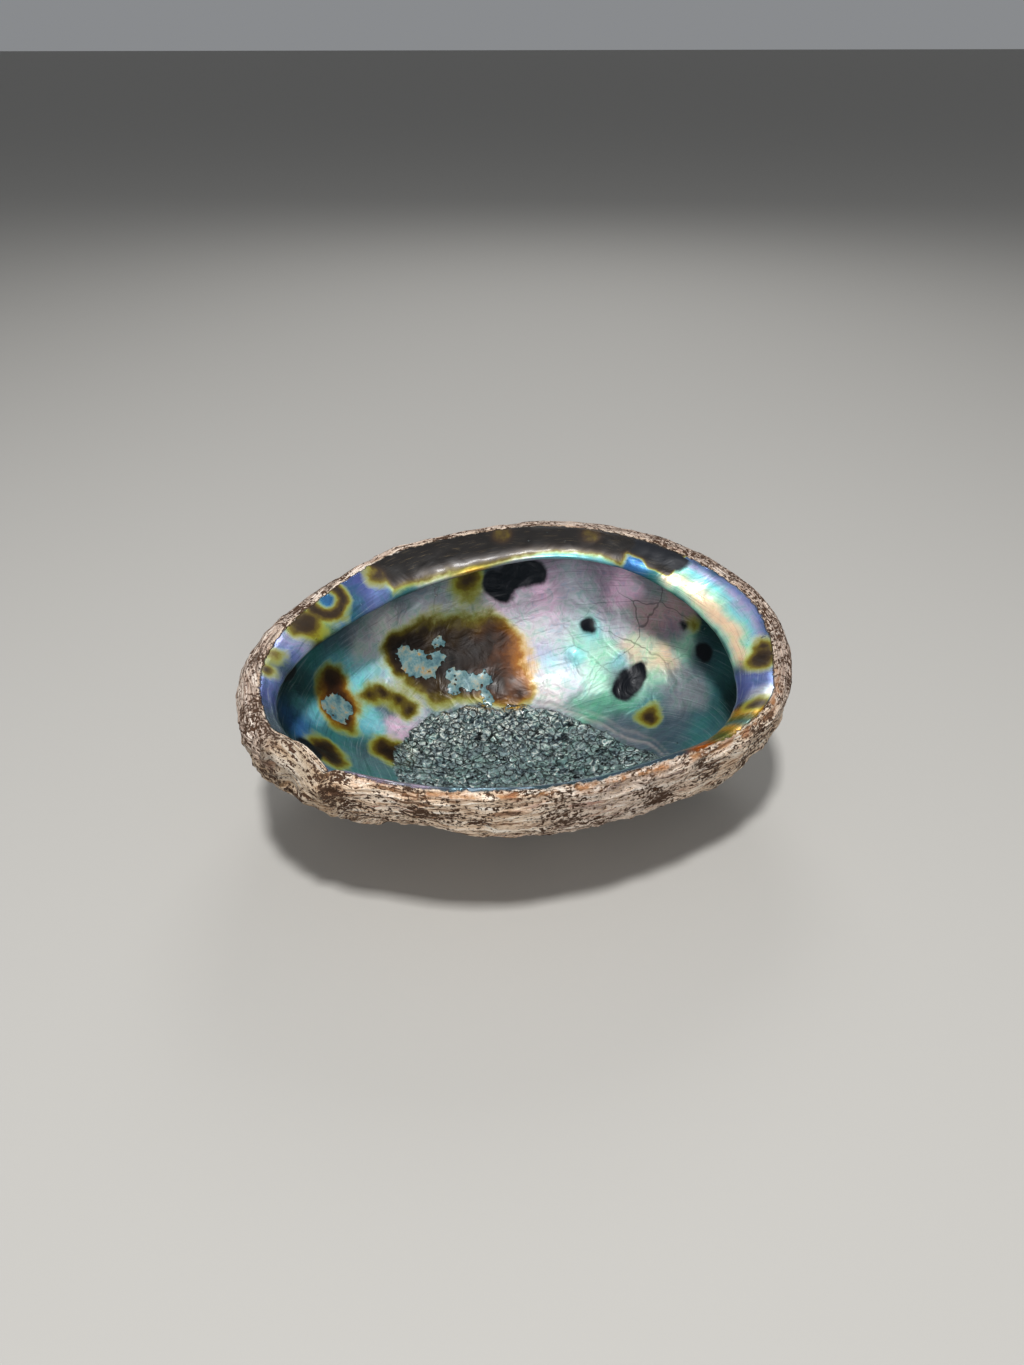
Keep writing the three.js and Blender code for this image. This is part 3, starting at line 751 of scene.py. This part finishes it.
class Graph:
    """Short ways to add shader nodes to one material."""

    def __init__(self, name):
        self.material = bpy.data.materials.new(name)
        self.material.use_nodes = True
        self.tree = self.material.node_tree
        self.shader = self.tree.nodes["Principled BSDF"]

    def feed(self, socket, value):
        if isinstance(value, bpy.types.NodeSocket):
            self.tree.links.new(value, socket)
        else:
            socket.default_value = value

    def add(self, kind, inputs, output=0, **settings):
        node = self.tree.nodes.new(kind)
        for key, value in settings.items():
            setattr(node, key, value)
        for key, value in inputs.items():
            self.feed(node.inputs[key], value)
        return node.outputs[output]

    def math(self, operation, a, b=0.0, clamp=False):
        return self.add("ShaderNodeMath", {0: a, 1: b}, operation=operation, use_clamp=clamp)

    def mix(self, share, a, b, blend="MIX"):
        inputs = {0: share, 6: a, 7: b}
        return self.add("ShaderNodeMix", inputs, 2, data_type="RGBA", blend_type=blend)

    def blend(self, share, a, b):
        return self.add("ShaderNodeMix", {0: share, 2: a, 3: b}, 0, data_type="FLOAT")

    def step(self, value, low, high, first=0.0, last=1.0):
        inputs = {"Value": value, "From Min": low, "From Max": high, "To Min": first, "To Max": last}
        return self.add("ShaderNodeMapRange", inputs, interpolation_type="SMOOTHSTEP")

    def times(self, a, b):
        return self.math("MULTIPLY", a, b)

    def plus(self, a, b):
        return self.math("ADD", a, b)

    def around_zero(self, value, size):
        """A value from 0 to 1 moved to lie around 0, times a size."""
        return self.times(self.math("SUBTRACT", value, 0.5), size)

    def warped(self, vector, scale, size):
        """Places pushed about by noise."""
        push = self.scaled(self.noise(vector, scale, 2, output=1), size)
        return self.add("ShaderNodeVectorMath", {0: vector, 1: push}, operation="ADD")

    def scaled(self, vector, scale):
        inputs = {0: vector, 1: scale if isinstance(scale, tuple) else (scale,) * 3}
        return self.add("ShaderNodeVectorMath", inputs, operation="MULTIPLY")

    def noise(self, vector, scale, detail=3.0, roughness=0.55, distortion=0.0, output=0):
        inputs = {"Vector": vector, "Scale": scale, "Detail": detail, "Roughness": roughness,
                  "Distortion": distortion}
        return self.add("ShaderNodeTexNoise", inputs, output)

    def voronoi(self, vector, scale, feature="F1", output="Distance"):
        inputs = {"Vector": vector, "Scale": scale}
        return self.add("ShaderNodeTexVoronoi", inputs, output, feature=feature)

    def ramp(self, value, stops):
        node = self.tree.nodes.new("ShaderNodeValToRGB")
        self.feed(node.inputs[0], value)
        elements = node.color_ramp.elements
        while len(elements) < len(stops):
            elements.new(0.5)
        for element, (at, colour) in zip(elements, stops):
            element.position = at
            element.color = paint(colour)
        return node.outputs[0]

    def field(self, name, output="Fac"):
        return self.add("ShaderNodeAttribute", {}, output, attribute_name=name)


g = Graph("abalone")
position = g.scaled(g.add("ShaderNodeTexCoord", {}, "Object"), 1 / MM)
towards_shelf = g.add("ShaderNodeSeparateXYZ", {0: position}, 1)
grain_way = g.field("grain", "Vector")
in_bowl_share = g.field("in_bowl")

# Noises that more than one layer uses, along the growth lines or in the space of the shell.
streak = g.noise(grain_way, 0.9, 5, 0.62)
fine = g.noise(g.scaled(grain_way, (2.4, 2.4, 1.6)), 1.5, 4, 0.6)
speck = g.noise(position, 0.9, 4, 0.65)
crinkle = g.noise(position, 0.27, 4, 0.55, 2.2)
edge_noise = g.around_zero(g.noise(position, 0.25, 6, 0.62), 4.0)
ripple = g.noise(position, 0.22, 4, 0.55, 1.2)
shimmer = g.ramp(ripple, [(0.30, (120, 190, 190)), (0.42, (190, 215, 200)), (0.50, (235, 225, 235)),
                          (0.58, (224, 192, 208)), (0.68, (166, 182, 210)), (0.80, (140, 205, 170))])


def crust_layer():
    """Colour and height: off-white with brown flecks drawn out along the growth lines."""
    colour = g.ramp(streak, [(0.34, (92, 66, 48)), (0.40, (164, 132, 106)), (0.46, (216, 190, 164)),
                             (0.55, (238, 220, 200)), (0.66, (250, 242, 230))])
    mottle = g.noise(g.scaled(grain_way, (1.3, 1.3, 0.3)), 0.7, 4, 0.55)
    colour = g.mix(g.step(mottle, 0.50, 0.66), colour, g.mix(0.45, colour, paint((222, 202, 178))))
    bleach = g.times(g.field("bleached"), g.step(speck, 0.35, 0.6))
    colour = g.mix(bleach, colour, g.mix(0.55, colour, paint((216, 202, 194))))
    blush = g.step(g.noise(g.scaled(grain_way, (0.6, 0.6, 0.7)), 0.8, 3), 0.60, 0.70)
    colour = g.mix(g.times(blush, 0.55), colour, paint((158, 92, 74)))
    tawny = g.mix(fine, paint((70, 56, 38)), paint((150, 128, 96)))
    colour = g.mix(g.times(g.field("bulge"), 0.5), colour, tawny)
    strata = g.noise(g.scaled(grain_way, (0.7, 0.7, 2.2)), 1.1, 3, 0.5)
    strata = g.ramp(strata, [(0.36, (74, 60, 52)), (0.44, (142, 120, 106)), (0.50, (206, 188, 174)),
                             (0.56, (122, 100, 90)), (0.64, (228, 216, 204))])
    colour = g.mix(g.times(g.field("layered"), 0.8), colour, strata)
    fleck = g.plus(speck, g.around_zero(fine, 0.8))
    fleck = g.plus(fleck, g.around_zero(g.noise(position, 0.07, 3, 0.6), 0.75))
    fleck = g.step(fleck, 0.465, 0.415)
    colour = g.mix(fleck, colour, paint((84, 61, 45)))
    lip_line = g.times(g.field("lip_red"), g.step(g.noise(position, 0.14, 4, 0.6), 0.44, 0.60))
    orange = g.mix(g.noise(position, 0.35, 3), paint((148, 86, 58)), paint((204, 160, 112)))
    colour = g.mix(lip_line, colour, orange)
    height = g.plus(g.times(streak, 0.9), g.times(fine, 0.7))
    height = g.times(g.plus(height, g.times(speck, 0.8)), 1.5)
    return colour, g.math("SUBTRACT", height, g.times(fleck, 0.5))


def tinted_nacre():
    """The tints by place, with rainbow ripples, brushed streaks and fine cracks."""
    tints = g.field("tint", "Color")
    colour = g.mix(0.16, tints, g.mix(1.0, tints, shimmer, "MULTIPLY"))
    colour = g.mix(0.20, colour, g.mix(1.0, colour, shimmer, "OVERLAY"))
    brush = g.noise(g.scaled(grain_way, (0.5, 0.5, 1.3)), 1.0, 4, 0.6)
    colour = g.mix(g.step(brush, 0.46, 0.30, 0.0, 0.35), colour, paint("deep_teal"))
    colour = g.mix(g.step(brush, 0.55, 0.72, 0.0, 0.40), colour, paint("silver"))
    crack = g.voronoi(g.warped(position, 0.11, 7.0), 0.055, "DISTANCE_TO_EDGE")
    crack = g.math("MULTIPLY", g.step(crack, 0.022, 0.004), g.field("cracks"), clamp=True)
    colour = g.mix(g.times(crack, 0.5), colour, paint((40, 34, 34)))
    return g.mix(g.times(g.field("ridges"), 0.35), colour, paint((190, 176, 170)))


def scar_layer():
    """Colour and height of the muscle scar: a mosaic of small raised scales with dark outlines, with
    painted highlights and painted shade on its crinkled relief.
    """
    wobble = g.warped(position, 0.45, 2.6)
    scale_edge = g.voronoi(wobble, 0.25, "DISTANCE_TO_EDGE")
    scale_inner = g.voronoi(wobble, 0.25)
    scale_shade = g.add("ShaderNodeSeparateColor", {0: g.voronoi(wobble, 0.25, output="Color")})
    # The scar's grey-green is partly its own colour and partly painted light: the ramp follows the
    # crinkle that also raises the height, so its low spots are painted dark as shade and its high spots
    # near-white as painted highlight.
    colour = g.ramp(crinkle, [(0.35, (30, 38, 42)), (0.43, (84, 100, 104)), (0.50, (140, 158, 158)),
                              (0.56, (112, 146, 142)), (0.61, (188, 204, 196)), (0.67, (250, 252, 246))])
    colour = g.mix(g.step(scale_shade, 0.1, 0.9, 0.0, 0.45), colour, paint((176, 194, 188)))
    # Painted highlight: near-white glints on the crinkle's high spots, only on the part of the scar
    # towards the shelf.
    painted_glint = g.times(g.step(crinkle, 0.50, 0.58), g.step(towards_shelf, 12.0, 36.0))
    colour = g.mix(g.times(painted_glint, 0.80), colour, paint((246, 250, 240)))
    colour = g.mix(0.20, colour, g.mix(1.0, colour, shimmer, "OVERLAY"))
    from_ring = g.math("ABSOLUTE", g.math("SUBTRACT", scale_inner, 0.45))
    scale_ring = g.times(g.step(from_ring, 0.09, 0.02), g.step(scale_shade, 0.6, 0.7))
    colour = g.mix(scale_ring, colour, paint((16, 20, 22)))
    colour = g.mix(g.step(scale_edge, 0.09, 0.02, 0.0, 0.8), colour, paint((14, 18, 20)))
    gilded = g.times(g.step(g.field("stain"), -6.0, -1.0), g.step(crinkle, 0.46, 0.56))
    gilded = g.times(gilded, g.step(towards_shelf, 32.0, 37.0))
    colour = g.mix(gilded, colour, paint("gold"))
    height = g.plus(g.times(crinkle, 3.0), g.times(scale_shade, 1.2))
    return colour, g.math("SUBTRACT", height, g.times(scale_inner, 1.6))


def stained_nacre(colour, stain_depth, stain_cover, dark_cover):
    """Stains: green-gold or amber at the edge, then nearly black brown, and the black patches."""
    share = g.add("ShaderNodeMapRange", {"Value": stain_depth, "From Min": -4.0, "From Max": 8.0})
    greenish = g.ramp(share, [(0.02, (200, 204, 110)), (0.18, (146, 146, 36)), (0.32, (92, 80, 20)),
                              (0.46, (52, 38, 18)), (0.62, (30, 20, 13)), (0.90, (15, 11, 9))])
    amber = g.ramp(share, [(0.02, (232, 214, 150)), (0.18, (198, 156, 52)), (0.34, (138, 86, 22)),
                           (0.50, (82, 46, 18)), (0.68, (40, 24, 14)), (0.95, (17, 12, 10))])
    colour = g.mix(stain_cover, colour, g.mix(g.field("warmth"), greenish, amber))
    scratch = g.noise(g.scaled(grain_way, (0.5, 0.5, 2.2)), 3.0, 2)
    scratch = g.times(g.step(scratch, 0.62, 0.70, 0.0, 0.30), g.step(stain_depth, 3.0, 7.0))
    colour = g.mix(scratch, colour, paint((140, 122, 92)))
    return g.mix(dark_cover, colour, paint("ink"))


def plate_colour():
    """The thin grey-blue plates that lie on the stains."""
    return g.ramp(g.noise(position, 0.30, 5, 0.65), [
        (0.35, (64, 94, 102)), (0.5, (96, 124, 126)), (0.60, (124, 134, 126)), (0.70, (150, 124, 80))])


# Where each layer lies, from 0 to 1.
scar_edge = g.plus(g.field("scar"), g.around_zero(g.noise(position, 0.3, 4), 1.8))
scar_cover = g.step(scar_edge, 0.35, 0.65)
stain_depth = g.plus(g.field("stain"), edge_noise)
off_scar = g.math("SUBTRACT", 1.0, g.times(scar_cover, 0.85))
stain_cover = g.times(g.step(stain_depth, -4.0, 0.0), off_scar)
dark_cover = g.step(g.plus(g.field("dark"), g.times(edge_noise, 0.45)), -1.2, 0.8)
plate_edge = g.times(g.math("SUBTRACT", g.voronoi(position, 0.55), 0.25), 2.4)
plate_cover = g.step(g.plus(g.field("flake"), plate_edge), -0.25, 0.15)

# Crust meets nacre along an uneven line just inside the crest, and hooks in over the brow.
meeting = g.plus(g.field("across"), g.around_zero(g.noise(position, 0.4, 4, 0.6), 2.6))
meeting = g.math("SUBTRACT", meeting, g.times(g.field("hook"), 6.5))
meeting = g.plus(meeting, g.times(g.field("near_lip"), 2.0))
is_nacre = g.step(meeting, 0.3, 1.0)

crust, crust_height = crust_layer()
scales, scar_height = scar_layer()
nacre = g.mix(scar_cover, tinted_nacre(), scales)
nacre = stained_nacre(nacre, stain_depth, stain_cover, dark_cover)
nacre = g.mix(plate_cover, nacre, plate_colour())
g.feed(g.shader.inputs["Base Color"], g.mix(is_nacre, crust, nacre))

stained = g.math("MAXIMUM", stain_cover, dark_cover)
gloss = g.blend(stained, g.blend(in_bowl_share, 0.27, 0.54), 0.42)
gloss = g.blend(plate_cover, g.blend(scar_cover, gloss, 0.28), 0.42)
g.feed(g.shader.inputs["Roughness"], g.blend(is_nacre, g.step(speck, 0.3, 0.7, 0.78, 0.95), gloss))
metal = g.blend(stained, g.blend(in_bowl_share, 0.55, 0.32), 0.06)
metal = g.blend(scar_cover, metal, 0.28)
g.feed(g.shader.inputs["Metallic"], g.times(is_nacre, metal))
g.feed(g.shader.inputs["Coat Weight"], g.times(is_nacre, g.blend(stained, 0.16, 0.04)))
g.shader.inputs["Specular IOR Level"].default_value = 0.35
g.shader.inputs["Coat Roughness"].default_value = 0.12

nacre_height = g.noise(position, 0.09, 3, 0.45, 1.2)
nacre_height = g.times(nacre_height, g.step(in_bowl_share, 0.2, 0.9, 0.25, 1.0))
nacre_height = g.plus(nacre_height, g.times(plate_cover, 0.25))
nacre_height = g.blend(scar_cover, nacre_height, scar_height)
height = g.blend(is_nacre, crust_height, nacre_height)
bump = g.add("ShaderNodeBump", {"Height": height, "Strength": 1.0, "Distance": 0.0011})
g.feed(g.shader.inputs["Normal"], bump)

mesh.materials.clear()
mesh.materials.append(g.material)
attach(shell, "root")
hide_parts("shell")

# ---- studio ----------------------------------------------------------------------------------

CAMERA_PLACE = (-91.9, -293.0, 240.0)
CAMERA_PITCH = math.radians(32)
CAMERA_TURN = math.radians(-17)
FOCAL_MM, SENSOR_MM = 27.03, 36.0
FLOOR_REACH = 40

camera_data = bpy.data.cameras.new("camera")
camera_data.lens = FOCAL_MM
camera_data.sensor_width = SENSOR_MM
camera_data.clip_start = 0.01
camera = bpy.data.objects.new("camera", camera_data)
camera.location = [MM * distance for distance in CAMERA_PLACE]
camera.rotation_euler = (math.pi / 2 - CAMERA_PITCH, 0, CAMERA_TURN)
bpy.context.scene.collection.objects.link(camera)
bpy.context.scene.camera = camera

floor_mesh = bpy.data.meshes.new("floor")
corners = [(FLOOR_REACH * a, FLOOR_REACH * b, 0) for a, b in ((-1, -1), (1, -1), (1, 1), (-1, 1))]
floor_mesh.from_pydata(corners, [], [(0, 1, 2, 3)])
floor = bpy.data.objects.new("floor", floor_mesh)
floor_paint = Graph("floor")
floor_paint.shader.inputs["Base Color"].default_value = paint((160, 158, 154))
floor_paint.shader.inputs["Roughness"].default_value = 0.9
floor_mesh.materials.append(floor_paint.material)
bpy.context.scene.collection.objects.link(floor)


def area_light(name, place, size, power):
    """A soft square light, aimed at the shell: place and size in metres, power in watts."""
    data = bpy.data.lights.new(name, "AREA")
    data.size = size
    data.energy = power
    light = bpy.data.objects.new(name, data)
    light.location = place
    light.rotation_euler = (-Vector(place)).to_track_quat("-Z", "Y").to_euler()
    bpy.context.scene.collection.objects.link(light)


area_light("key", (-0.16, -0.36, 1.15), 0.12, 13.5)
area_light("back", (0.35, 0.95, 0.85), 0.5, 3.5)
area_light("front", (-0.3, -1.2, 0.45), 0.7, 9.0)

world = bpy.data.worlds.new("studio")
world.use_nodes = True
sky = world.node_tree.nodes["Background"].inputs
sky["Color"].default_value = (0.80, 0.82, 0.85, 1)
sky["Strength"].default_value = 0.30
bpy.context.scene.world = world
bpy.context.scene.view_settings.view_transform = "Standard"
bpy.context.scene.view_settings.look = "Medium High Contrast"
